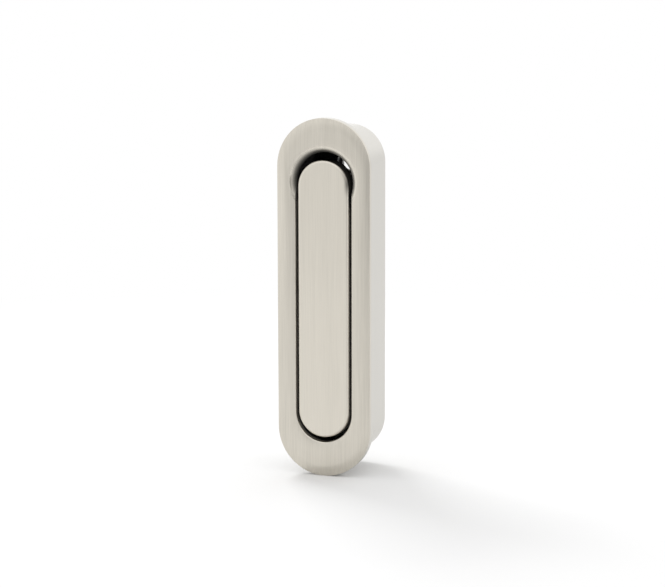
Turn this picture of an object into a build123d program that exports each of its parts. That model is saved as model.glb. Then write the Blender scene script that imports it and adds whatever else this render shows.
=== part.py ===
"""Spring-back pull for the edge of a pocket door.

A stadium-shaped plate and a deep housing are one casting, let into the door's edge.
A flat lever lies flush in the plate's slot and swings on a pin that a folded cradle
carries. Pressing the lever's top end into the finger scoop swings its lower end out.

Millimetres, as installed: +Z up, the front face towards -Y, +X to the right.
The origin is the plate's centre, in the plane of the door's face.
"""
import os
from math import cos, radians, sin, sqrt, tan

from build123d import *

# The lever and the gaps round it
lever_width = 15.5
lever_length = 80.7
lever_thickness = 5.0
lever_face_round = 0.8
lever_back_chamfer = 0.4
side_gap = 0.8
top_gap = 2.2
bottom_gap = 1.35

# The front plate
flange_thickness = 3.0
crown_rise = 0.4
slot_crown_drop = 0.3
slot_edge_round = 0.35
lip_thickness = 2.8
top_rim = 7.95
bottom_rim = 10.0
scoop_flare = 1.8
scoop_roll_radius = 2.4

# The housing behind the plate
flange_overhang = 3.35
wall = 1.7
cavity_relief = 0.5
housing_depth = 20.3
floor_thickness = 3.0
back_chamfer = 0.5

# The hinge
pivot_below_scoop = 13.7
pivot_standoff = 3.4
open_angle = 30.0
pin_diameter = 3.0
pin_chamfer = 0.3
running_clearance = 0.03
bush_wall = 0.6
bush_flange_width = 0.8
bush_flange_thickness = 0.5
end_play = 0.1
lug_wall = 1.4
lug_thickness = 2.2
lug_foot = 1.5

# The cradle, folded from steel sheet
sheet = 1.2
bend_radius = 0.8
cradle_slip = 0.3
cheek_clearance = 0.3
cheek_foot = 4.0
rail_height = 2.6
tab_width = 8.0
tab_slit = 0.3
hook_height = 1.6
hook_reach = 1.1
hook_length = 3.8
hook_clearance = 0.05

# Rubber boots on the cradle's two tabs
boot_thickness = 3.0
boot_length = 3.6
rest_gap = 0.05
stop_gap = 0.1

# The return spring, wound from square wire
spring_wire = 0.7
spring_pitch = 0.85
spring_turns = 4
quarter_turn = 0.25
spring_arm = 9.0
spring_foot = 3.0
spring_gap = 0.05

# Fixing holes for countersunk wood screws, and the cradle's screw
fixing_hole = 4.0
fixing_head = 7.6
head_clearance = 0.4
upper_fixing_above_scoop = 3.5
screw_diameter = 3.0
screw_head = 5.6
screw_head_height = 1.8
screw_head_chamfer = 0.5
screw_socket = 2.0
screw_socket_depth = 1.1
screw_recess = 0.2
thread_clearance = 0.03
hole_land = 1.4

# Finger grip and cored pocket in the lever's back
grip_radius = 14.0
grip_depth = 1.8
grip_above_end = 8.6
pocket_width = 8.0
pocket_length = 24.0
pocket_depth = 2.2
pocket_below_pivot = 23.0

# Widths, from the lever outwards
slot_width = lever_width + 2 * side_gap
cavity_width = slot_width + 2 * cavity_relief
housing_width = cavity_width + 2 * wall
plate_width = housing_width + 2 * flange_overhang
scoop_radius = slot_width / 2

# Heights, with the plate's centre at zero
plate_height = bottom_rim + bottom_gap + lever_length + top_gap + scoop_flare + top_rim
plate_end = plate_height / 2
slot_end_z = bottom_rim - plate_end
lever_bottom_z = slot_end_z + bottom_gap
lever_top_z = lever_bottom_z + lever_length
scoop_z = lever_top_z + top_gap - scoop_radius
slot_bottom_z = slot_end_z + slot_width / 2
plate_centre_z = plate_end - plate_width / 2
housing_height = plate_height - 2 * flange_overhang
cavity_height = housing_height - 2 * wall

# Depths, with the door's face at zero
face_y = -(flange_thickness + crown_rise)
rim_y = -flange_thickness
cavity_y = face_y + lip_thickness
lever_back_y = face_y + lever_thickness
floor_y = housing_depth - floor_thickness
crown_width = (plate_width - slot_width) / 4
clear_y = face_y - crown_width

# Hinge and cradle places
pivot_y = lever_back_y + pivot_standoff
pivot_z = scoop_z - pivot_below_scoop
pin_radius = pin_diameter / 2
bush_bore = pin_radius + running_clearance
bush_radius = bush_bore + bush_wall
lug_radius = bush_radius + lug_wall
cradle_half = slot_width / 2 - cradle_slip
cheek_inner = cradle_half - sheet
lug_outer = cheek_inner - end_play - bush_flange_thickness
lug_inner = lug_outer - lug_thickness
cheek_nose = pivot_standoff - cheek_clearance
cradle_floor_y = floor_y - sheet
foot_radius = cavity_width / 2 - cavity_relief - cradle_slip
foot_centre_z = cavity_width / 2 - cavity_height / 2
screw_z = foot_centre_z - hole_land

# The upper fixing hole sits behind the scoop, and the cradle ends short of its head
upper_fixing_z = scoop_z + upper_fixing_above_scoop
cradle_top_z = upper_fixing_z - fixing_head / 2 - head_clearance
stop_tab_z = cradle_top_z - hole_land - sheet / 2


def open_back_y(z):
    """Depth of the open lever's back at height z."""
    angle = radians(open_angle)
    foot_y = pivot_y - pivot_standoff * cos(angle)
    foot_z = pivot_z + pivot_standoff * sin(angle)
    return foot_y + (z - foot_z) * tan(angle)


nose_radius = boot_thickness / 2
rest_nose_y = lever_back_y + rest_gap + nose_radius
stop_nose_y = open_back_y(stop_tab_z) + (nose_radius + stop_gap) / cos(radians(open_angle))

# Each tab is cut from the floor below its own bend, so its window is as long as it is tall
rest_window = cradle_floor_y - rest_nose_y + sheet
stop_window = cradle_floor_y - stop_nose_y + sheet
rest_tab_z = screw_z + screw_head / 2 + hole_land + rest_window + sheet / 2
lower_fixing_z = rest_tab_z - sheet / 2 - rest_window / 2


def crown_radius(drop):
    """Radius of an arc that falls by drop over the crown's width and starts level."""
    return (crown_width**2 + drop**2) / (2 * drop)


def rounded_run(half_section, low_z, high_z):
    """Carry a half section up both sides of a stadium and turn it round both ends."""
    with BuildPart() as run:
        with BuildSketch(Plane.XY.offset(low_z)):
            add(half_section)
            mirror(about=Plane.YZ)
        extrude(amount=high_z - low_z)
        for centre_z in (low_z, high_z):
            with BuildSketch(Plane.XY.offset(centre_z)):
                add(half_section)
            revolve(axis=Axis((0, 0, centre_z), (0, 1, 0)))
    return run.part


def turned(half_section, centre_z):
    """Turn a half section once round an axis that runs front to back."""
    with BuildPart() as turning:
        with BuildSketch(Plane.XY.offset(centre_z)):
            add(half_section)
        revolve(axis=Axis((0, 0, centre_z), (0, 1, 0)))
    return turning.part


# Half of the plate, cut across its width: the face is crowned towards the rim
with BuildSketch() as plate_section:
    with BuildLine():
        plate_half = plate_width / 2
        crest = plate_half - crown_width
        Polyline((crest, face_y), (0, face_y), (0, 0), (plate_half, 0), (plate_half, rim_y))
        RadiusArc((plate_half, rim_y), (crest, face_y), crown_radius(crown_rise))
    make_face()

# Half of the slot: the face falls towards it and its edge is rounded
with BuildSketch() as slot_section:
    with BuildLine():
        slot_half = slot_width / 2
        shoulder = slot_half + slot_edge_round
        shoulder_y = face_y + slot_crown_drop * ((crest - shoulder) / crown_width) ** 2
        wall_y = shoulder_y + slot_edge_round
        Polyline((slot_half, wall_y), (slot_half, cavity_y), (0, cavity_y), (0, clear_y))
        Polyline((0, clear_y), (crest, clear_y), (crest, face_y))
        RadiusArc((crest, face_y), (shoulder, shoulder_y), crown_radius(slot_crown_drop))
        RadiusArc((shoulder, shoulder_y), (slot_half, wall_y), slot_edge_round)
    make_face()

# Half of the finger scoop: a round hole as wide as the slot, with a rolled edge that meets the face at a crease
with BuildSketch() as scoop_section:
    with BuildLine():
        flare_y = face_y + scoop_flare
        brim = scoop_radius + scoop_flare
        Polyline((scoop_radius, flare_y), (scoop_radius, cavity_y), (0, cavity_y), (0, clear_y))
        Polyline((0, clear_y), (brim, clear_y), (brim, face_y))
        RadiusArc((brim, face_y), (scoop_radius, flare_y), scoop_roll_radius)
    make_face()


# Housing: crowned plate, walls and floor in one casting
with BuildPart() as housing:
    add(rounded_run(plate_section.sketch, -plate_centre_z, plate_centre_z))
    with BuildSketch(Plane.XZ):
        SlotOverall(housing_height, housing_width, rotation=90)
    extrude(amount=-housing_depth)
    chamfer(housing.faces().sort_by(Axis.Y)[-1].edges(), back_chamfer)
    with BuildSketch(Plane.XZ.offset(-cavity_y)):
        SlotOverall(cavity_height, cavity_width, rotation=90)
    extrude(amount=cavity_y - floor_y, mode=Mode.SUBTRACT)
    add(rounded_run(slot_section.sketch, slot_bottom_z, scoop_z), mode=Mode.SUBTRACT)
    add(turned(scoop_section.sketch, scoop_z), mode=Mode.SUBTRACT)
    for z in (upper_fixing_z, lower_fixing_z):
        with Locations(Plane((0, floor_y, z), x_dir=(1, 0, 0), z_dir=(0, -1, 0))):
            CounterSinkHole(fixing_hole / 2, fixing_head / 2, depth=floor_thickness)
    with Locations(Plane((0, floor_y, screw_z), x_dir=(1, 0, 0), z_dir=(0, -1, 0))):
        Hole(screw_diameter / 2 + thread_clearance, depth=floor_thickness)
    # Nibs on the side walls hold down the cradle's top edge
    for side in (-1, 1):
        nib_inner = cradle_half - hook_reach
        nib_outer = (cavity_width + wall) / 2
        with Locations((side * (nib_inner + nib_outer) / 2, cradle_floor_y - hook_clearance, cradle_top_z)):
            Box(
                nib_outer - nib_inner,
                hook_height,
                hook_length,
                align=(Align.CENTER, Align.MAX, Align.MAX),
            )
housing.part.label = "housing"

# Lever: a flat bar with two hinge lugs, a finger grip and a cored pocket behind
with BuildPart() as lever:
    with BuildSketch(Plane.XZ.offset(-face_y)):
        with Locations((0, (lever_top_z + lever_bottom_z) / 2)):
            SlotOverall(lever_length, lever_width, rotation=90)
    extrude(amount=-lever_thickness)
    fillet(lever.faces().sort_by(Axis.Y)[0].edges(), lever_face_round)
    chamfer(lever.faces().sort_by(Axis.Y)[-1].edges(), lever_back_chamfer)
    grip_z = lever_bottom_z + grip_above_end
    with Locations((0, lever_back_y - grip_depth + grip_radius, grip_z)):
        Cylinder(grip_radius, slot_width, rotation=(0, 90, 0), mode=Mode.SUBTRACT)
    with BuildSketch(Plane.XZ.offset(-lever_back_y)):
        with Locations((0, pivot_z - pocket_below_pivot)):
            SlotOverall(pocket_length, pocket_width, rotation=90)
    extrude(amount=pocket_depth, mode=Mode.SUBTRACT)
    for side in (-1, 1):
        with BuildSketch(Plane.YZ.offset(side * (lug_inner + lug_outer) / 2)):
            with Locations((pivot_y, pivot_z)):
                Circle(lug_radius)
            with Locations((lever_back_y - lever_back_chamfer, pivot_z)):
                Rectangle(lever_back_chamfer, 2 * (lug_radius + lug_foot), align=(Align.MIN, Align.CENTER))
            make_hull()
            with Locations((pivot_y, pivot_z)):
                Circle(bush_radius, mode=Mode.SUBTRACT)
        extrude(amount=lug_thickness / 2, both=True)
lever.part.label = "lever"

# Cradle: a folded channel with two cheeks for the pin and two upturned tabs
with BuildPart() as cradle:
    rail_y = cradle_floor_y - rail_height
    nose_y = pivot_y - cheek_nose
    middle_y = floor_y - sheet / 2
    with BuildSketch(Plane.XY.offset(foot_centre_z - foot_radius)):
        with BuildLine():
            side_x = cradle_half - sheet / 2
            FilletPolyline(
                (-side_x, nose_y),
                (-side_x, middle_y),
                (side_x, middle_y),
                (side_x, nose_y),
                radius=bend_radius + sheet / 2,
            )
        trace(line_width=sheet)
    extrude(amount=cradle_top_z - foot_centre_z + foot_radius)
    # Seen from the side: low rails, and tall cheeks rounded off at the pin
    with BuildSketch(Plane.YZ):
        with Locations((pivot_y, pivot_z)):
            Circle(cheek_nose)
        with Locations((rail_y, pivot_z)):
            Rectangle(floor_y - rail_y, 2 * (cheek_nose + cheek_foot), align=(Align.MIN, Align.CENTER))
        make_hull()
        with Locations((rail_y, screw_z + screw_head)):
            rail_length = cradle_top_z - hook_length - hole_land / 2 - screw_z - screw_head
            Rectangle(floor_y - rail_y, rail_length, align=(Align.MIN, Align.MIN))
        with Locations((cradle_floor_y, foot_centre_z - foot_radius)):
            Rectangle(sheet, cradle_top_z - foot_centre_z + foot_radius, align=(Align.MIN, Align.MIN))
    extrude(amount=cradle_half, both=True, mode=Mode.INTERSECT)
    # Seen from the front: the foot is rounded to follow the housing's end
    with BuildSketch(Plane.XZ.offset(-floor_y)):
        with Locations((0, foot_centre_z)):
            Circle(foot_radius)
            Rectangle(2 * cradle_half, cradle_top_z - foot_centre_z, align=(Align.CENTER, Align.MIN))
    extrude(amount=floor_y, mode=Mode.INTERSECT)
    for tab_z, nose, window in (
        (rest_tab_z, rest_nose_y, rest_window),
        (stop_tab_z, stop_nose_y, stop_window),
    ):
        bend = bend_radius + sheet / 2
        cut_width = tab_width + 2 * tab_slit
        cut_depth = 2 * sheet
        cut_height = window + bend + sheet / 2
        with Locations((0, middle_y, tab_z + bend)):
            Box(
                cut_width,
                cut_depth,
                cut_height,
                align=(Align.CENTER, Align.CENTER, Align.MAX),
                mode=Mode.SUBTRACT,
            )
        with BuildSketch(Plane.YZ):
            with BuildLine():
                FilletPolyline(
                    (middle_y, tab_z + bend + sheet / 2),
                    (middle_y, tab_z),
                    (nose, tab_z),
                    radius=bend,
                )
            trace(line_width=sheet)
        extrude(amount=tab_width / 2, both=True)
    with Locations((0, pivot_y, pivot_z)):
        Cylinder(pin_radius, 2 * cradle_half, rotation=(0, 90, 0), mode=Mode.SUBTRACT)
    with Locations(Plane((0, cradle_floor_y, screw_z), x_dir=(1, 0, 0), z_dir=(0, -1, 0))):
        Hole(screw_diameter / 2 + thread_clearance, depth=sheet)
cradle.part.label = "cradle"

# Screw that holds the cradle's foot: a cylinder head with a hexagon socket
with BuildPart() as cradle_screw:
    with Locations((0, cradle_floor_y, screw_z)):
        Cylinder(
            screw_head / 2,
            screw_head_height,
            rotation=(90, 0, 0),
            align=(Align.CENTER, Align.CENTER, Align.MIN),
        )
    chamfer(cradle_screw.faces().sort_by(Axis.Y)[0].edges(), screw_head_chamfer)
    with BuildSketch(Plane.XZ.offset(screw_head_height - cradle_floor_y)):
        with Locations((0, screw_z)):
            RegularPolygon(screw_socket / 2, 6, major_radius=False)
    extrude(amount=-screw_socket_depth, mode=Mode.SUBTRACT)
    with BuildSketch(Plane.XZ.offset(-cradle_floor_y)):
        with Locations((0, screw_z)):
            Circle(screw_diameter / 2)
    extrude(amount=-(sheet + floor_thickness - screw_recess))
cradle_screw.part.label = "cradle_screw"

# Hinge pin, pressed into both cheeks
with BuildPart() as pivot_pin:
    with Locations((0, pivot_y, pivot_z)):
        Cylinder(pin_radius, 2 * cradle_half, rotation=(0, 90, 0))
    chamfer(pivot_pin.edges().filter_by(GeomType.CIRCLE), pin_chamfer)
pivot_pin.part.label = "pivot_pin"


def flanged_bush(side):
    """Bush pressed into one lug, with its flange towards the cheek."""
    with BuildPart() as bush:
        with BuildSketch(Plane.YZ.offset(side * lug_inner)):
            with Locations((pivot_y, pivot_z)):
                Circle(bush_radius)
                Circle(bush_bore, mode=Mode.SUBTRACT)
        extrude(amount=side * lug_thickness)
        with BuildSketch(Plane.YZ.offset(side * lug_outer)):
            with Locations((pivot_y, pivot_z)):
                Circle(bush_radius + bush_flange_width)
                Circle(bush_bore, mode=Mode.SUBTRACT)
        extrude(amount=side * bush_flange_thickness)
    return bush.part


left_bush = flanged_bush(-1)
left_bush.label = "left_bush"
right_bush = flanged_bush(1)
right_bush.label = "right_bush"


def rubber_boot(tab_z, nose_y):
    """Round-nosed rubber cap pushed over the end of a tab."""
    with BuildPart() as boot:
        with BuildSketch(Plane.YZ):
            with Locations((nose_y, tab_z)):
                Circle(nose_radius)
                Rectangle(boot_length, boot_thickness, align=(Align.MIN, Align.CENTER))
                Rectangle(boot_length, sheet, align=(Align.MIN, Align.CENTER), mode=Mode.SUBTRACT)
        extrude(amount=tab_width / 2, both=True)
    return boot.part


rest_buffer = rubber_boot(rest_tab_z, rest_nose_y)
rest_buffer.label = "rest_buffer"
stop_buffer = rubber_boot(stop_tab_z, stop_nose_y)
stop_buffer.label = "stop_buffer"

# Return spring: a coil round the pin, an arm behind the lever and a leg to the cradle's floor
with BuildPart() as torsion_spring:
    coil_radius = pivot_standoff - spring_wire / 2 - spring_gap
    coil_length = (spring_turns + quarter_turn) * spring_pitch
    pin_axis = Axis((0, pivot_y, pivot_z), (1, 0, 0))
    with BuildLine() as coil:
        coil_centre = (-coil_length / 2, pivot_y, pivot_z)
        helix = Helix(spring_pitch, coil_length, coil_radius, coil_centre, (1, 0, 0), mode=Mode.PRIVATE)
        add(helix.rotate(pin_axis, 90))
    coil_start = Plane(coil.line @ 0, x_dir=(1, 0, 0), z_dir=coil.line % 0)
    coil_end = Plane(coil.line @ 1, x_dir=(1, 0, 0), z_dir=coil.line % 1)
    with BuildSketch(coil_start):
        Rectangle(spring_wire, spring_wire)
    sweep(path=coil.line, is_frenet=True)
    with BuildSketch(coil_start):
        Rectangle(spring_wire, spring_wire)
    extrude(amount=-spring_arm)
    leg_end_y = cradle_floor_y - spring_wire / 2 - spring_gap
    leg_end = coil_end.origin + coil_end.z_dir * ((leg_end_y - coil_end.origin.Y) / coil_end.z_dir.Y)
    with BuildLine() as leg:
        FilletPolyline(coil_end.origin, leg_end, leg_end - Vector(0, 0, spring_foot), radius=bend_radius)
    with BuildSketch(coil_end):
        Rectangle(spring_wire, spring_wire)
    sweep(path=leg.line)
torsion_spring.part.label = "torsion_spring"

os.makedirs("parts", exist_ok=True)
for piece in (
    housing.part,
    lever.part,
    cradle.part,
    cradle_screw.part,
    pivot_pin.part,
    left_bush,
    right_bush,
    rest_buffer,
    stop_buffer,
    torsion_spring.part,
):
    export_step(piece, f"parts/{piece.label}.step")
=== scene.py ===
# %% [markdown]
# A spring-back pull for the edge of a pocket door.
#
# The model comes in as a fixed frame of solids, in metres, with +Z up and the front
# face towards -Y. This file dresses it: finishes, one finer mesh, a studio and a
# camera. Each step below says what it is on the real object, how it could be made, and
# why it is made this way.

# %% Load the frame
from math import cos, pi, radians, sin

import bpy
from mathutils import Matrix, Vector


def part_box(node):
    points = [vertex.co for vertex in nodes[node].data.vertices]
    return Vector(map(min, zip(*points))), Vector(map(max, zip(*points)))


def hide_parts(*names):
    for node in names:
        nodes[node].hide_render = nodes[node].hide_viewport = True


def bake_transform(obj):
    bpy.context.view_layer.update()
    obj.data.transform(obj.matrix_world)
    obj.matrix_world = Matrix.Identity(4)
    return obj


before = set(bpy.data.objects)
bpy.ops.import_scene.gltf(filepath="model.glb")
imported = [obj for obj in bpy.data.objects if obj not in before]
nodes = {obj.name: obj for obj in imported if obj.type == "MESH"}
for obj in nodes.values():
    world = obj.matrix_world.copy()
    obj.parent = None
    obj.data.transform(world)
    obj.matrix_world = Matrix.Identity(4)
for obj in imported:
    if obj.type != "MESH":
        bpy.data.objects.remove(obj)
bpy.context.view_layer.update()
print("nodes:", ", ".join(sorted(nodes)))

# %% [markdown]
# A finish is a small tree of shader nodes. It could be clicked together by hand, but then
# nobody could read how it was made. One helper that makes a node, sets its values and
# wires its inputs keeps each tree down to one readable line per node. Sums come up again
# and again, so they have short helpers of their own.

# %% Helpers: nodes and sums
def add_node(tree, kind, inputs=None, **settings):
    """Make one node; an input given as another node's output is wired to it."""
    made = tree.nodes.new(kind)
    for name, value in settings.items():
        setattr(made, name, value)
    for name, value in (inputs or {}).items():
        if isinstance(value, bpy.types.NodeSocket):
            tree.links.new(value, made.inputs[name])
        else:
            made.inputs[name].default_value = value
    return made


def calculate(tree, operation, first, second=0.0, third=0.0, clamp=False):
    """One Math node's result."""
    values = {0: first, 1: second, 2: third}
    made = add_node(tree, "ShaderNodeMath", values, operation=operation, use_clamp=clamp)
    return made.outputs[0]


def multiply(tree, first, second):
    """The product of two numbers, or the overlap of two masks."""
    return calculate(tree, "MULTIPLY", first, second)


def subtract(tree, first, second):
    """A difference; one minus a mask is all that the mask leaves out."""
    return calculate(tree, "SUBTRACT", first, second)


print("helpers ready: nodes and sums")

# %% [markdown]
# An effect that several finishes share becomes a group with named inputs and outputs. It
# is built once and placed in each material with that material's own values.

# %% Helpers: groups
def new_group(name, inputs, outputs):
    """An empty shader group with named number inputs and outputs."""
    group = bpy.data.node_groups.new(name, "ShaderNodeTree")
    for label, value in inputs.items():
        socket = group.interface.new_socket(
            label, in_out="INPUT", socket_type="NodeSocketFloat"
        )
        socket.default_value = value
    for label in outputs:
        group.interface.new_socket(label, in_out="OUTPUT", socket_type="NodeSocketFloat")
    given = group.nodes.new("NodeGroupInput").outputs
    return group, given, group.nodes.new("NodeGroupOutput").inputs


def place_group(tree, group, values):
    """Put a group into a material with its own values."""
    made = tree.nodes.new("ShaderNodeGroup")
    made.node_tree = group
    for label, value in values.items():
        made.inputs[label].default_value = value
    return made.outputs


print("helpers ready: groups")

# %% [markdown]
# Satin nickel is brushed by a belt that runs up and down the plate. It leaves fine
# scratches, long in Z and narrow across, some in loose bands. A picture of scratches could
# be wrapped round the plate, but it would need a UV map and would repeat. A noise that is
# squeezed across and stretched along Z gives both lines and bands. It reads object
# coordinates, so the pattern stays on a piece that moves.

# %% Group: brushed grain
BAND_STRETCH = 3.0


def brushed_grain():
    group, given, out = new_group(
        "Brushed Grain",
        {"Line Width": 0.0002, "Line Length": 0.012, "Band Width": 0.002, "Seed": 0.0},
        ["Line", "Band"],
    )
    place = add_node(group, "ShaderNodeTexCoord").outputs["Object"]
    for label, stretch in (("Line", 1.0), ("Band", BAND_STRETCH)):
        across = calculate(group, "DIVIDE", 1.0, given[label + " Width"])
        along = calculate(group, "DIVIDE", 1.0 / stretch, given["Line Length"])
        scale = add_node(
            group, "ShaderNodeCombineXYZ", {0: across, 1: across, 2: along}
        ).outputs[0]
        squeezed = add_node(
            group, "ShaderNodeVectorMath", {0: place, 1: scale}, operation="MULTIPLY"
        ).outputs[0]
        noise = add_node(
            group,
            "ShaderNodeTexNoise",
            {
                "Vector": squeezed,
                "W": given["Seed"],
                "Scale": 1.0,
                "Detail": 2.0,
                "Roughness": 0.6,
            },
            noise_dimensions="4D",
        )
        group.links.new(noise.outputs[0], out[label])
    return group


BRUSHED_GRAIN = brushed_grain()
print("group:", BRUSHED_GRAIN.name)

# %% [markdown]
# Hands leave a metal pull a little uneven: broad soft patches where the sheen is duller.
# They could be painted on, but a slow noise in object space is enough. On the nickel it
# drives the roughness alone. At a much finer size the same noise is the mottle of plating,
# nylon and rubber.

# %% Group: handling marks
def handling_marks():
    group, given, out = new_group(
        "Handling Marks", {"Patch Size": 0.012, "Seed": 0.0}, ["Patch"]
    )
    place = add_node(group, "ShaderNodeTexCoord").outputs["Object"]
    scale = calculate(group, "DIVIDE", 1.0, given["Patch Size"])
    noise = add_node(
        group,
        "ShaderNodeTexNoise",
        {
            "Vector": place,
            "W": given["Seed"],
            "Scale": scale,
            "Detail": 3.0,
            "Roughness": 0.55,
        },
        noise_dimensions="4D",
    )
    group.links.new(noise.outputs[0], out["Patch"])
    return group


HANDLING_MARKS = handling_marks()
print("group:", HANDLING_MARKS.name)

# %% [markdown]
# Two finishes change from place to place on one piece. Separate materials on separate
# faces would end at hard borders, but these changes are soft and cross the faces. So each
# zone is a mask that is worked out from where a point lies. A few helpers measure that:
# the distance from a point or from an upright line, and a soft step between two values.

# %% Helpers: where a point lies
def object_axes(group):
    """X, Y and Z in the piece's own frame, which moves with the piece."""
    place = add_node(group, "ShaderNodeTexCoord").outputs["Object"]
    return add_node(group, "ShaderNodeSeparateXYZ", {0: place}).outputs


def sum_of_squares(tree, first, second):
    """The square of the distance that two offsets make."""
    return calculate(
        tree, "ADD", multiply(tree, first, first), multiply(tree, second, second)
    )


def distance_in_plane(group, x_axis, z_axis, centre_z):
    """Distance in the XZ plane from a point on the plate's middle line."""
    offset = subtract(group, z_axis, centre_z)
    return calculate(group, "SQRT", sum_of_squares(group, x_axis, offset))


def distance_from_line(group, x_axis, height, line_end):
    """Distance in the XZ plane from the middle line, which ends at a given height."""
    beyond = calculate(group, "MAXIMUM", subtract(group, height, line_end), 0.0)
    return distance_in_plane(group, x_axis, beyond, 0.0)


def soft_step(tree, value, low, high):
    """0 below low, 1 above high and a smooth rise between them."""
    return add_node(
        tree,
        "ShaderNodeMapRange",
        {"Value": value, "From Min": low, "From Max": high},
        interpolation_type="SMOOTHSTEP",
    ).outputs[0]


print("helpers ready: where a point lies")

# %% [markdown]
# The casting isn't finished alike all over. Its face is brushed and the scoop's rolled edge
# is polished. The sides are only plated. Inside the slot, and where the scoop's rolled edge
# turns in, a painted shade stands for the shade deep in the hollow: a near-black colour and
# less metal. The screw holes are cut afterwards, so their walls are bright; a thin bright
# ring on each countersink is a painted glint. The group tells these zones apart by how deep
# a point lies, and by how far it is from the stadium's middle line, the scoop's centre and
# the two holes.

# %% Casting zones: the measures
CASTING_MEASURES = {
    "Slot Shade Start": -0.0024,
    "Slot Shade Full": -0.0012,
    "Roll Shade Start": -0.0033,
    "Roll Shade Fall": 0.0006,
    "Inner Half Width": 0.0098,
    "End Centre": 0.038,
    "Side Start": -0.0029,
    "Side Full": -0.0010,
    "Roll End": -0.0008,
    "Back Face": 0.0199,
    "Scoop Height": 0.0337,
    "Scoop Brim": 0.01036,
    "Floor Depth": 0.0172,
    "Upper Hole": 0.0372,
    "Lower Hole": -0.028025,
    "Hole Wall": 0.0023,
    "Rim Inner": 0.0031,
    "Rim Outer": 0.0035,
}
print("measures of the casting:", len(CASTING_MEASURES))

# %% Casting zones: painted shade inside, and the sides
def hollow_masks(group, axes, given):
    """Painted shade inside the slot, the plated sides, and all before the back face."""
    height = calculate(group, "ABSOLUTE", axes["Z"])
    reach = distance_from_line(group, axes["X"], height, given["End Centre"])
    within = calculate(group, "LESS_THAN", reach, given["Inner Half Width"])
    at_back = calculate(group, "GREATER_THAN", axes["Y"], given["Back Face"])
    before_back = subtract(group, 1.0, at_back)
    hollow = multiply(group, within, before_back)
    shade = soft_step(group, axes["Y"], given["Slot Shade Start"], given["Slot Shade Full"])
    behind = soft_step(group, axes["Y"], given["Side Start"], given["Side Full"])
    on_sides = multiply(group, subtract(group, 1.0, hollow), behind)
    return multiply(group, hollow, shade), on_sides, before_back


print("zones: inside and sides")

# %% Casting zones: the scoop's rolled edge
def rolled_edge_masks(group, axes, given):
    """The polished brim of the scoop, and a painted shade that deepens as it turns in."""
    from_scoop = distance_in_plane(group, axes["X"], axes["Z"], given["Scoop Height"])
    near_scoop = calculate(group, "LESS_THAN", from_scoop, given["Scoop Brim"])
    in_front = calculate(group, "LESS_THAN", axes["Y"], given["Roll End"])
    in_brim = multiply(group, near_scoop, in_front)
    from_start = subtract(group, axes["Y"], given["Roll Shade Start"])
    past_start = calculate(group, "MAXIMUM", from_start, 0.0)
    falls = calculate(group, "DIVIDE", past_start, given["Roll Shade Fall"])
    still_bright = calculate(group, "EXPONENT", multiply(group, falls, -1.0))
    return in_brim, multiply(group, in_brim, subtract(group, 1.0, still_bright))


print("zones: rolled edge")

# %% Casting zones: the screw holes
def cut_and_glint_mask(group, axes, given, before_back):
    """Freshly cut metal on the holes' walls, and a painted glint: a thin bright ring on each
    countersink.
    """
    from_upper = distance_in_plane(group, axes["X"], axes["Z"], given["Upper Hole"])
    from_lower = distance_in_plane(group, axes["X"], axes["Z"], given["Lower Hole"])
    nearest = calculate(group, "MINIMUM", from_upper, from_lower)
    in_outer = calculate(group, "LESS_THAN", nearest, given["Rim Outer"])
    in_inner = calculate(group, "LESS_THAN", nearest, given["Rim Inner"])
    in_hole = calculate(group, "LESS_THAN", nearest, given["Hole Wall"])
    at_floor = calculate(group, "GREATER_THAN", axes["Y"], given["Floor Depth"])
    # A painted glint: a thin bright ring on each countersink.
    seat_rim = multiply(group, subtract(group, in_outer, in_inner), before_back)
    return multiply(group, calculate(group, "ADD", seat_rim, in_hole), at_floor)


print("zones: screw holes")

# %% Group: casting zones
def casting_zones():
    group, given, out = new_group(
        "Casting Zones", CASTING_MEASURES, ["Inside", "Sides", "Scoop", "Cut And Glint"]
    )
    axes = object_axes(group)
    in_slot, on_sides, before_back = hollow_masks(group, axes, given)
    in_brim, in_roll = rolled_edge_masks(group, axes, given)
    # The painted shade: near-black deep in the slot and where the scoop's rolled edge turns
    # in.
    group.links.new(calculate(group, "MAXIMUM", in_slot, in_roll), out["Inside"])
    group.links.new(on_sides, out["Sides"])
    group.links.new(in_brim, out["Scoop"])
    group.links.new(cut_and_glint_mask(group, axes, given, before_back), out["Cut And Glint"])
    return group


CASTING_ZONES = casting_zones()
print("group:", CASTING_ZONES.name)

# %% [markdown]
# The lever is brushed on its face only. Its rounded edge and what lies behind it get a
# painted shade, a greyer colour that stands for the shade in the gap round the lever. Near
# the scoop the edge gets a much darker painted shade, a painted reflection of the dark scoop.
# On its right side this painted shade spreads a little way over the face. The group gives
# the two painted shades as two masks.

# %% Lever shade: the measures
LEVER_MEASURES = {
    "Gap Shade Start": -0.0026,
    "Gap Shade Full": -0.0021,
    "Edge Shade Start": -0.0032,
    "Edge Shade Full": -0.0026,
    "Scoop Centre": 0.0337,
    "Shade Reach": 0.0125,
    "Face Shade Start": 0.0060,
    "Face Shade Full": 0.0078,
    "Face Shade Side Start": 0.0036,
    "Face Shade Side Full": 0.0062,
    "Face Shade Bottom": 0.029,
    "Face Shade Top": 0.034,
}
print("measures of the lever:", len(LEVER_MEASURES))

# %% Lever shade: the painted shade near the scoop
SHADE_CORE = 0.7


def scoop_edge_shade(group, axes, given):
    """Painted shade all round the rounded edge, within a reach of the scoop's centre."""
    from_scoop_centre = distance_in_plane(group, axes["X"], axes["Z"], given["Scoop Centre"])
    fade_start = multiply(group, given["Shade Reach"], SHADE_CORE)
    beyond = soft_step(group, from_scoop_centre, fade_start, given["Shade Reach"])
    below_face = soft_step(group, axes["Y"], given["Edge Shade Start"], given["Edge Shade Full"])
    return multiply(group, below_face, subtract(group, 1.0, beyond))


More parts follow.
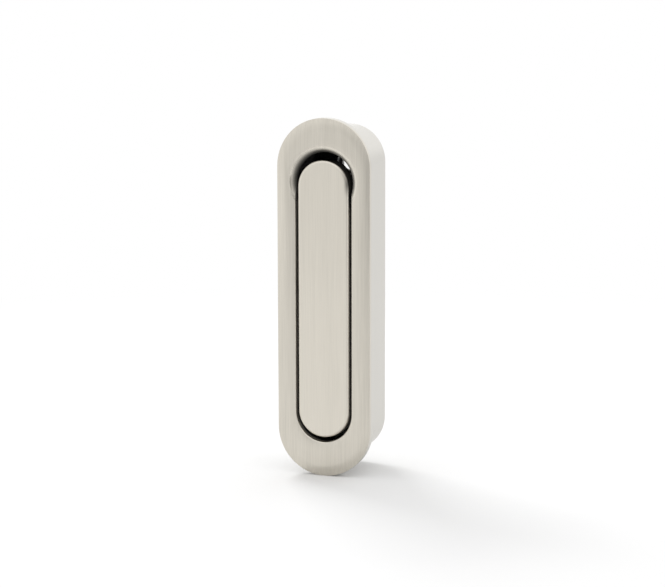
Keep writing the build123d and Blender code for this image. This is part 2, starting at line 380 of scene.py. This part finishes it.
def face_shade_strip(group, axes, given):
    """Painted shade on a narrow strip of the face along the right side of the top end."""
    reach = distance_from_line(group, axes["X"], axes["Z"], given["Scoop Centre"])
    near_edge = soft_step(group, reach, given["Face Shade Start"], given["Face Shade Full"])
    on_side = soft_step(group, axes["X"], given["Face Shade Side Start"], given["Face Shade Side Full"])
    at_top = soft_step(group, axes["Z"], given["Face Shade Bottom"], given["Face Shade Top"])
    return multiply(group, near_edge, multiply(group, on_side, at_top))


print("zones: painted shade on the edge and the face")

# %% Group: lever shade
def lever_shade_group():
    group, given, out = new_group("Lever Shade", LEVER_MEASURES, ["Gap Shade", "Scoop Shade"])
    axes = object_axes(group)
    # Painted shade on the lever's edge and back, for the shade in the gap round it.
    gap_shade = soft_step(group, axes["Y"], given["Gap Shade Start"], given["Gap Shade Full"])
    on_edge = scoop_edge_shade(group, axes, given)
    face_shade = face_shade_strip(group, axes, given)
    group.links.new(gap_shade, out["Gap Shade"])
    # The darker painted shade, a painted reflection of the dark scoop, on the edge and the
    # face.
    group.links.new(calculate(group, "MAXIMUM", on_edge, face_shade), out["Scoop Shade"])
    return group


LEVER_SHADE = lever_shade_group()
print("group:", LEVER_SHADE.name)

# %% [markdown]
# Every finish starts from the same three things: an empty material with one Principled
# shader, a blend of two colours and a blend of two numbers.

# %% Helpers: materials and blends
def new_material(name):
    """A material with only its output and a Principled shader."""
    material = bpy.data.materials.new(name)
    material.use_nodes = True
    tree = material.node_tree
    tree.nodes.clear()
    shader = add_node(tree, "ShaderNodeBsdfPrincipled")
    output = add_node(tree, "ShaderNodeOutputMaterial")
    tree.links.new(shader.outputs[0], output.inputs["Surface"])
    return material, tree, shader


def blend_colours(tree, share, first, second):
    """A mix of two colours by a share from 0 to 1."""
    mix = add_node(tree, "ShaderNodeMix", {0: share, 6: first, 7: second}, data_type="RGBA")
    return mix.outputs[2]


def blend_numbers(tree, share, first, second):
    """A mix of two numbers by a share from 0 to 1."""
    mix = add_node(tree, "ShaderNodeMix", {0: share, 2: first, 3: second}, data_type="FLOAT")
    return mix.outputs[0]


print("helpers ready: materials and blends")

# %% [markdown]
# The brushed surface itself: the scratches and their bands mix a light and a shaded nickel,
# and make the gloss a little uneven. Brushing also bends the highlight, because scratches
# that run up and down smear a reflection sideways. Real grooves could do that, but they
# would be finer than a pixel. The shader's anisotropy does it instead, and it needs the
# direction across the scratches. The cross product of the surface normal and a line that
# is nearly upright gives it on the face, the sides and the rounded ends alike.

# %% Brushed nickel: colour, gloss and highlight
NICKEL = (0.765, 0.723, 0.642, 1)
NICKEL_SHADED = (0.616, 0.583, 0.513, 1)
LINE_SHARE = 0.65
BAND_SHARE = 0.35
SATIN_ROUGHNESS = 0.26
LINE_ROUGHNESS = 0.08
PATCH_ROUGHNESS = 0.06
SCRATCH_STRENGTH = 0.12
SCRATCH_DEPTH = 0.00002
SCRATCH_LINE = (0, 0.15, 1)
ANISOTROPY = 0.85


def brushed_colour(tree, grain, brightness, contrast):
    """Light and shaded nickel, mixed by the scratches and their bands."""
    full = [brightness * value for value in NICKEL[:3]] + [1]
    shaded = [brightness * value for value in NICKEL_SHADED[:3]] + [1]
    scratches = multiply(tree, grain["Line"], LINE_SHARE)
    lines = calculate(tree, "MULTIPLY_ADD", grain["Band"], BAND_SHARE, scratches)
    swing = subtract(tree, lines, 0.5)
    streaks = calculate(tree, "MULTIPLY_ADD", swing, contrast, 0.5, clamp=True)
    return blend_colours(tree, streaks, shaded, full)


def brushed_roughness(tree, grain, marks):
    """A satin gloss, duller on the scratches and where hands have been."""
    scratched = calculate(tree, "MULTIPLY_ADD", grain["Line"], LINE_ROUGHNESS, SATIN_ROUGHNESS)
    return calculate(tree, "MULTIPLY_ADD", marks["Patch"], PATCH_ROUGHNESS, scratched)


def brushed_highlight(tree, shader, grain):
    """Shallow ridges along the scratches, and reflections smeared across them."""
    bump = add_node(
        tree,
        "ShaderNodeBump",
        {"Strength": SCRATCH_STRENGTH, "Distance": SCRATCH_DEPTH, "Height": grain["Line"]},
    )
    tree.links.new(bump.outputs[0], shader.inputs["Normal"])
    normal = add_node(tree, "ShaderNodeNewGeometry").outputs["Normal"]
    across = add_node(
        tree, "ShaderNodeVectorMath", {0: normal, 1: SCRATCH_LINE}, operation="CROSS_PRODUCT"
    ).outputs[0]
    tree.links.new(across, shader.inputs["Tangent"])
    shader.inputs["Anisotropic"].default_value = ANISOTROPY


print("brushed nickel ready, anisotropy", ANISOTROPY)

# %% [markdown]
# The housing and the lever are the same nickel under different layers. Each layer is one
# mask of the piece's own group, with the colour and the roughness that it brings, or None
# where it leaves them as they are. Later layers lie over earlier ones. Where the casting has
# its painted shade it is also made less metallic, which darkens it further; the cut metal
# and the painted glint stay fully metallic.

# %% Materials: satin nickel
PLATED_SIDE = (0.70, 0.683, 0.642, 1)
# Painted shade: a near-black colour for the shade deep in the slot and the scoop.
RECESS_PAINTED_SHADE = (0.040, 0.038, 0.034, 1)
# Bright metal: the real cut walls of the holes, and a painted glint on the countersinks.
CUT_METAL_AND_GLINT = (0.90, 0.89, 0.87, 1)
# Painted shade: a greyer colour for the shade in the gap round the lever.
GAP_PAINTED_SHADE = (0.25, 0.24, 0.218, 1)
# Painted shade: a dark grey that paints in the dark scoop's reflection on the lever.
SCOOP_PAINTED_SHADE = (0.09, 0.085, 0.076, 1)
# Of these layers, the one for the inside is a painted shade, and the cut one is partly a
# painted glint.
CASTING_LAYERS = (
    ("Scoop", None, 0.15),
    ("Sides", PLATED_SIDE, 0.3),
    ("Inside", RECESS_PAINTED_SHADE, 0.65),
    ("Cut And Glint", CUT_METAL_AND_GLINT, 0.3),
)
# Both lever layers are painted shade.
LEVER_LAYERS = (
    ("Gap Shade", GAP_PAINTED_SHADE, 0.45),
    ("Scoop Shade", SCOOP_PAINTED_SHADE, None),
)
GRAIN_SIZE = {"Line Width": 0.00035, "Line Length": 0.014, "Band Width": 0.002}
PATCH_SIZE = 0.013
# Under the painted shade the metallic falls to this, which darkens it further.
RECESS_METALLIC = 0.4


def satin_nickel(name, group, layers, brightness=1.0, contrast=1.0, seed=0.0):
    """Brushed nickel, and over it the layers that the group's masks place."""
    material, tree, shader = new_material(name)
    grain = place_group(tree, BRUSHED_GRAIN, {**GRAIN_SIZE, "Seed": seed})
    marks = place_group(tree, HANDLING_MARKS, {"Patch Size": PATCH_SIZE, "Seed": seed})
    masks = place_group(tree, group, {})
    colour = brushed_colour(tree, grain, brightness, contrast)
    roughness = brushed_roughness(tree, grain, marks)
    for label, layer_colour, layer_roughness in layers:
        if layer_colour is not None:
            colour = blend_colours(tree, masks[label], colour, layer_colour)
        if layer_roughness is not None:
            roughness = blend_numbers(tree, masks[label], roughness, layer_roughness)
    tree.links.new(colour, shader.inputs["Base Color"])
    tree.links.new(roughness, shader.inputs["Roughness"])
    shader.inputs["Metallic"].default_value = 1.0
    if group == CASTING_ZONES:
        # Less metal where the painted shade lies, but not on the cut metal and the painted
        # glint.
        painted_shade_share = calculate(tree, "SUBTRACT", masks["Inside"], masks["Cut And Glint"], clamp=True)
        metallic = calculate(tree, "MULTIPLY_ADD", painted_shade_share, RECESS_METALLIC - 1.0, 1.0)
        tree.links.new(metallic, shader.inputs["Metallic"])
    brushed_highlight(tree, shader, grain)
    return material


casting_nickel = satin_nickel(
    "satin_nickel_casting", CASTING_ZONES, CASTING_LAYERS, contrast=2.0
)
lever_nickel = satin_nickel(
    "satin_nickel_lever", LEVER_SHADE, LEVER_LAYERS, brightness=1.09, contrast=1.1, seed=3.0
)
print("materials:", casting_nickel.name, lever_nickel.name)

# %% [markdown]
# The parts inside are plainer: zinc-plated sheet with the faint mottle of its plating,
# spring steel, a nylon bush and moulded rubber. Each could have a tree of its own, but they
# differ only in colour, gloss and how coarse their surface is, so they share one maker.
# The length of a finish's name seeds its noise, so that no two show the same mottle.

# %% Materials: the mechanism
MOTTLE_ROUGHNESS = 0.2
MOTTLE_STRENGTH = 0.4


def plain_finish(name, light, dark, roughness, metallic, patch_size, bump_depth):
    """A finish with a soft mottle in its colour, gloss and surface."""
    material, tree, shader = new_material(name)
    marks = place_group(tree, HANDLING_MARKS, {"Patch Size": patch_size, "Seed": len(name)})
    colour = blend_colours(tree, marks["Patch"], dark, light)
    tree.links.new(colour, shader.inputs["Base Color"])
    smoothest = roughness - MOTTLE_ROUGHNESS / 2
    mottled = calculate(tree, "MULTIPLY_ADD", marks["Patch"], MOTTLE_ROUGHNESS, smoothest)
    tree.links.new(mottled, shader.inputs["Roughness"])
    shader.inputs["Metallic"].default_value = metallic
    bump = add_node(
        tree,
        "ShaderNodeBump",
        {"Strength": MOTTLE_STRENGTH, "Distance": bump_depth, "Height": marks["Patch"]},
    )
    tree.links.new(bump.outputs[0], shader.inputs["Normal"])
    return material


zinc_plate = plain_finish(
    "zinc_plated_steel",
    light=(0.62, 0.63, 0.62, 1),
    dark=(0.46, 0.47, 0.48, 1),
    roughness=0.38,
    metallic=1.0,
    patch_size=0.0012,
    bump_depth=0.00002,
)
spring_steel = plain_finish(
    "spring_steel",
    light=(0.42, 0.40, 0.37, 1),
    dark=(0.24, 0.23, 0.22, 1),
    roughness=0.30,
    metallic=1.0,
    patch_size=0.002,
    bump_depth=0.00001,
)
nylon = plain_finish(
    "moulded_nylon",
    light=(0.80, 0.79, 0.73, 1),
    dark=(0.74, 0.72, 0.65, 1),
    roughness=0.45,
    metallic=0.0,
    patch_size=0.001,
    bump_depth=0.00001,
)
rubber = plain_finish(
    "moulded_rubber",
    light=(0.035, 0.035, 0.035, 1),
    dark=(0.02, 0.02, 0.02, 1),
    roughness=0.7,
    metallic=0.0,
    patch_size=0.0006,
    bump_depth=0.00002,
)
print("materials:", zinc_plate.name, spring_steel.name, nylon.name, rubber.name)

# %% [markdown]
# The solids already have the shapes of the real parts, so they stay, and only their
# material slots change. The spring isn't in this list, because it gets a finer mesh below.

# %% Put the finishes on the nodes
FINISHES = {
    "housing": (casting_nickel, "satin_nickel"),
    "lever": (lever_nickel, "satin_nickel"),
    "cradle": (zinc_plate, "plated_steel"),
    "cradle_screw": (zinc_plate, "plated_steel"),
    "pivot_pin": (zinc_plate, "plated_steel"),
    "left_bush": (nylon, "nylon"),
    "right_bush": (nylon, "nylon"),
    "rest_buffer": (rubber, "black_rubber"),
    "stop_buffer": (rubber, "black_rubber"),
}
for name, (material, slot) in FINISHES.items():
    nodes[name].data.materials.clear()
    nodes[name].data.materials.append(material)
print("finished nodes:", len(FINISHES))

# %% [markdown]
# The return spring is seen between the lever and the cradle when the lever is out. It is
# round wire, wound to a coil with a straight arm and a bent leg. Rings of faces could be
# placed along it one by one, but a curve with a round bevel does the same from its middle
# line alone. That line is worked out first: down the arm, round the coil, along the leg
# and into its foot.

# %% The return spring's line
PIVOT = Vector((0, 0.005, 0.020))
WIRE_RADIUS = 0.00035
COIL_RADIUS = 0.003
COIL_PITCH = 0.00085
COIL_TURNS = 4.25
ARM_LENGTH = 0.009
ARM_SHARES = (1.0, 0.75, 0.5, 0.25)
LEG_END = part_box("torsion_spring")[1].y - WIRE_RADIUS
FOOT_LENGTH = 0.003
BEND_RADIUS = 0.0008
BEND_STEPS = 8
STEPS_PER_TURN = 40


def coil_point(angle):
    """A point on the coil, at an angle from its front where the arm meets it."""
    along = COIL_PITCH * (angle / (2 * pi) - COIL_TURNS / 2)
    return PIVOT + Vector((along, -COIL_RADIUS * cos(angle), -COIL_RADIUS * sin(angle)))


def bend_point(angle):
    """A point on the bend between leg and foot, a quarter turn in all."""
    return bend_centre + BEND_RADIUS * Vector((0, sin(angle), cos(angle)))


steps = int(COIL_TURNS * STEPS_PER_TURN)
coil = [coil_point(2 * pi * COIL_TURNS * step / steps) for step in range(steps + 1)]
arm = [coil[0] + Vector((0, 0, ARM_LENGTH * share)) for share in ARM_SHARES]
bend_centre = Vector((coil[-1].x, LEG_END - BEND_RADIUS, coil[-1].z - BEND_RADIUS))
bend = [bend_point(pi / 2 * step / BEND_STEPS) for step in range(BEND_STEPS + 1)]
foot = bend[-1] - Vector((0, 0, FOOT_LENGTH - BEND_RADIUS))
wire_path = arm + coil + bend + [foot]
print("wire points:", len(wire_path))

# %% [markdown]
# The curve becomes a mesh, because a blend across the joint works on a mesh.

# %% The return spring
def new_object(name, data):
    """An object for a mesh, curve, lamp or camera, put into the scene."""
    made = bpy.data.objects.new(name, data)
    bpy.context.scene.collection.objects.link(made)
    return made


wire = bpy.data.curves.new("return_spring", "CURVE")
wire.dimensions = "3D"
wire.bevel_depth = WIRE_RADIUS
wire.bevel_resolution = 4
wire.use_fill_caps = True
spline = wire.splines.new("POLY")
spline.points.add(len(wire_path) - 1)
for point, place in zip(spline.points, wire_path):
    point.co = (*place, 1)
wire_holder = new_object("return_spring_wire", wire)
spring_mesh = bpy.data.meshes.new_from_object(wire_holder)
bpy.data.objects.remove(wire_holder)
spring = new_object("return_spring", spring_mesh)
spring_mesh.materials.clear()
spring_mesh.materials.append(spring_steel)
spring_mesh.shade_smooth()
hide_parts("torsion_spring")
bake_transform(spring)
print("spring faces:", len(spring_mesh.polygons))

# %% [markdown]
# The pull stands on its rounded end on a white sweep. The floor could be left to the
# picture's background, but a real surface takes the soft shadow and shows in the metal
# above it. A round disc has no corner that could turn up in a reflection.

# %% Floor: the disc
FLOOR_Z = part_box("housing")[0].z
FLOOR_RADIUS = 0.38
FLOOR_SIDES = 96

rim_angles = [2 * pi * side / FLOOR_SIDES for side in range(FLOOR_SIDES)]
floor_mesh = bpy.data.meshes.new("floor")
floor_mesh.from_pydata(
    [(FLOOR_RADIUS * cos(angle), FLOOR_RADIUS * sin(angle), FLOOR_Z) for angle in rim_angles],
    [],
    [tuple(range(FLOOR_SIDES))],
)
floor = new_object("floor", floor_mesh)
print("floor at", round(1000 * FLOOR_Z, 2), "mm")

# %% [markdown]
# In front, just outside the picture, lies a soft grey card. Only the metal sees it, low on
# the lever and the rim. To the camera alone the floor is a little lighter, and turns into
# plain white further out, so that its edge never shows. The card is a soft round spot: a
# bell curve, 1 at its middle and fading smoothly to nothing.

# %% Floor: its colour
FLOOR_IN_REFLECTIONS = (0.78, 0.78, 0.78, 1)
CARD_IN_REFLECTIONS = (0.60, 0.60, 0.60, 1)
FLOOR_TO_CAMERA = (0.825, 0.825, 0.825, 1)
WHITE = (1, 1, 1, 1)
CARD_AZIMUTH = radians(20)
CARD_DISTANCE = 0.15
CARD_SPREAD = 0.05
CARD_PLACE = (CARD_DISTANCE * sin(CARD_AZIMUTH), -CARD_DISTANCE * cos(CARD_AZIMUTH), FLOOR_Z)
FADE_START = 0.12
FADE_END = 0.35


def bell(tree, squares):
    """1 where the squared distance is 0, and a smooth fall around it."""
    return calculate(tree, "EXPONENT", multiply(tree, squares, -0.5))


floor_material = bpy.data.materials.new("white_sweep")
floor_material.use_nodes = True
tree = floor_material.node_tree
tree.nodes.clear()
place = add_node(tree, "ShaderNodeTexCoord").outputs["Object"]
from_card = add_node(
    tree, "ShaderNodeVectorMath", {0: place, 1: CARD_PLACE}, operation="DISTANCE"
).outputs["Value"]
spreads = calculate(tree, "DIVIDE", from_card, CARD_SPREAD)
on_card = bell(tree, multiply(tree, spreads, spreads))
in_reflections = blend_colours(tree, on_card, FLOOR_IN_REFLECTIONS, CARD_IN_REFLECTIONS)
seen = add_node(tree, "ShaderNodeLightPath").outputs["Is Camera Ray"]
floor_colour = blend_colours(tree, seen, in_reflections, FLOOR_TO_CAMERA)
diffuse = add_node(tree, "ShaderNodeBsdfDiffuse", {"Color": floor_colour})
white = add_node(tree, "ShaderNodeEmission", {"Color": WHITE, "Strength": 1.0})
distance = add_node(
    tree, "ShaderNodeVectorMath", {0: place}, operation="LENGTH"
).outputs["Value"]
far = multiply(tree, soft_step(tree, distance, FADE_START, FADE_END), seen)
mix = add_node(
    tree, "ShaderNodeMixShader", {0: far, 1: diffuse.outputs[0], 2: white.outputs[0]}
)
output = add_node(tree, "ShaderNodeOutputMaterial")
tree.links.new(mix.outputs[0], output.inputs["Surface"])
floor_mesh.materials.append(floor_material)
print("floor material:", floor_material.name)

# %% [markdown]
# Brushed metal shows what is round it more than its own colour. Lamps alone would leave it
# black between their reflections, so the studio is a white tent. It has one gap, low in
# front, where the camera stands. The gap is what darkens the right side of the crowned
# rim: each part of the crown mirrors another direction, and only the part that turns right
# mirrors the gap. The gap is a soft spot on the world's sphere, made from the azimuth and
# the elevation of each direction. The tent is a little dimmer overhead. Behind the pull it
# is dimmer near the floor and brighter above, so the housing's rounded top catches more
# light than its side. The camera itself sees plain white.

# %% World: the gap
GAP_AZIMUTH = radians(15)
GAP_ELEVATION = radians(-5)
GAP_HALF_WIDTH = radians(19)
GAP_HALF_HEIGHT = radians(14)
GAP_DEPTH = 0.72

world = bpy.data.worlds.new("white_tent")
bpy.context.scene.world = world
world.use_nodes = True
tree = world.node_tree
tree.nodes.clear()
direction = add_node(tree, "ShaderNodeTexCoord").outputs["Generated"]
axes = add_node(tree, "ShaderNodeSeparateXYZ", {0: direction}).outputs
azimuth = calculate(tree, "ARCTAN2", axes["X"], multiply(tree, axes["Y"], -1.0))
elevation = calculate(tree, "ARCSINE", axes["Z"])
aside = calculate(tree, "DIVIDE", subtract(tree, azimuth, GAP_AZIMUTH), GAP_HALF_WIDTH)
above = calculate(tree, "DIVIDE", subtract(tree, elevation, GAP_ELEVATION), GAP_HALF_HEIGHT)
gap = bell(tree, sum_of_squares(tree, aside, above))
past_gap = calculate(tree, "MULTIPLY_ADD", gap, -GAP_DEPTH, 1.0)
print("gap takes away:", GAP_DEPTH)

# %% World: the tent
TENT = 1.085
OVERHEAD = -0.07
OVERHEAD_START = radians(-10)
OVERHEAD_FULL = radians(25)
BACK_FULL = 0.9
BACK_LOW = -0.09
BACK_HIGH = 0.17
BACK_RISE_START = radians(1)
BACK_RISE_FULL = radians(15)

overhead = soft_step(tree, elevation, OVERHEAD_START, OVERHEAD_FULL)
sides = calculate(tree, "MULTIPLY_ADD", overhead, OVERHEAD, TENT)
behind = soft_step(tree, axes["Y"], 0.0, BACK_FULL)
rise = soft_step(tree, elevation, BACK_RISE_START, BACK_RISE_FULL)
change = calculate(tree, "MULTIPLY_ADD", rise, BACK_HIGH - BACK_LOW, BACK_LOW)
tent = calculate(tree, "ADD", multiply(tree, behind, change), sides)
seen = add_node(tree, "ShaderNodeLightPath").outputs["Is Camera Ray"]
strength = blend_numbers(tree, seen, multiply(tree, tent, past_gap), 1.0)
background = add_node(tree, "ShaderNodeBackground", {"Color": WHITE, "Strength": strength})
output = add_node(tree, "ShaderNodeOutputWorld")
tree.links.new(background.outputs[0], output.inputs["Surface"])
print("world:", world.name)

# %% [markdown]
# The tent alone would give hardly any shadow. One soft box behind on the left gives the
# shadow its direction, forwards and to the right. It is kept out of the reflections, as a
# flag would do in a studio, so that it doesn't burn out the top of the housing.

# %% Lamp
LAMP_PLACE = Vector((-0.48, 0.46, 0.647))
LAMP_WIDTH = 0.38
LAMP_HEIGHT = 0.20
LAMP_POWER = 3.2

lamp_data = bpy.data.lights.new("soft_box_behind_left", "AREA")
lamp_data.shape = "RECTANGLE"
lamp_data.size = LAMP_WIDTH
lamp_data.size_y = LAMP_HEIGHT
lamp_data.energy = LAMP_POWER
lamp = new_object("soft_box_behind_left", lamp_data)
lamp.location = LAMP_PLACE
lamp.rotation_mode = "QUATERNION"
lamp.rotation_quaternion = (-LAMP_PLACE).to_track_quat("-Z", "Y")
lamp.visible_glossy = False
print("lamp:", lamp.name)

# %% [markdown]
# The camera stands a little to the right and slightly above. A wide lens close by would
# make the upright sides lean together, so it is a long lens, far enough away for them to
# stay almost parallel. The small shift keeps the pull left of the middle of the picture.

# %% Camera
IMAGE_WIDTH = 665
SENSOR_WIDTH = 36.0
FOCAL_PIXELS = 2410.7
SHIFT_PIXELS = (9.5, 5.7)
AZIMUTH = radians(20.84)
ELEVATION = radians(9.12)
ROLL = radians(-0.16)
DISTANCE = 0.6925

camera_data = bpy.data.cameras.new("camera")
camera_data.sensor_width = SENSOR_WIDTH
camera_data.lens = camera_data.sensor_width * FOCAL_PIXELS / IMAGE_WIDTH
camera_data.shift_x = SHIFT_PIXELS[0] / IMAGE_WIDTH
camera_data.shift_y = SHIFT_PIXELS[1] / IMAGE_WIDTH
camera = new_object("camera", camera_data)

target = Vector((0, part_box("housing")[0].y, 0))
backwards = Vector(
    (sin(AZIMUTH) * cos(ELEVATION), -cos(AZIMUTH) * cos(ELEVATION), sin(ELEVATION))
)
stand = Matrix.Translation(target + DISTANCE * backwards)
aim = (-backwards).to_track_quat("-Z", "Y").to_matrix().to_4x4()
camera.matrix_world = stand @ aim @ Matrix.Rotation(ROLL, 4, "Z")
bpy.context.scene.camera = camera
print("lens in mm:", round(camera_data.lens, 1))

# %% [markdown]
# Colours are shown as they are written, with the plain view transform.

# %% Render settings
bpy.context.scene.view_settings.view_transform = "Standard"
